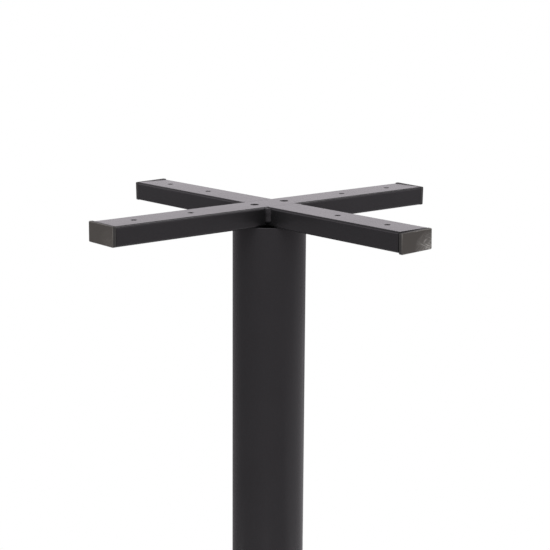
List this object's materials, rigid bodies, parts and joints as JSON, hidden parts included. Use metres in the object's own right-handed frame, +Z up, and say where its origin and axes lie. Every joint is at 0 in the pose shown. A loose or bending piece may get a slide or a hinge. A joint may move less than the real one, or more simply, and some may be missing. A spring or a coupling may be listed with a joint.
{
  "type": "pedestal table base",
  "caption": "Black steel pedestal table base: round tube column on a flat round plate, with a welded cross of flat tube arms, drilled for a table top and plugged at the ends.",
  "frame": {"origin": "on the floor, on the column's axis, in the middle of the base plate", "axes": "+Z up along the column, X along the long arm of the cross, Y along the two short arms"},
  "size_m": [0.4399, 0.44, 0.7208],
  "materials": {
    "powder_coat": "satin black powder coat over steel",
    "cap_plastic": "matt black moulded plastic, lightly scuffed",
    "glide_plastic": "matt black moulded plastic",
    "screw_steel": "bright zinc plated steel"
  },
  "bodies": {
    "root": {"column": "powder_coat", "long_arm": "powder_coat", "short_arm_front": "powder_coat", "short_arm_rear": "powder_coat", "corner_welds": "powder_coat", "seam_welds": "powder_coat", "rim_welds": "powder_coat", "end_cap_left": "cap_plastic", "end_cap_right": "cap_plastic", "end_cap_front": "cap_plastic", "end_cap_rear": "cap_plastic", "foot_flange": "powder_coat", "flange_weld": "powder_coat", "base_plate": "powder_coat", "foot_screws": "screw_steel", "glide_1": "glide_plastic", "glide_2": "glide_plastic", "glide_3": "glide_plastic", "glide_4": "glide_plastic"}
  },
  "joints": []
}
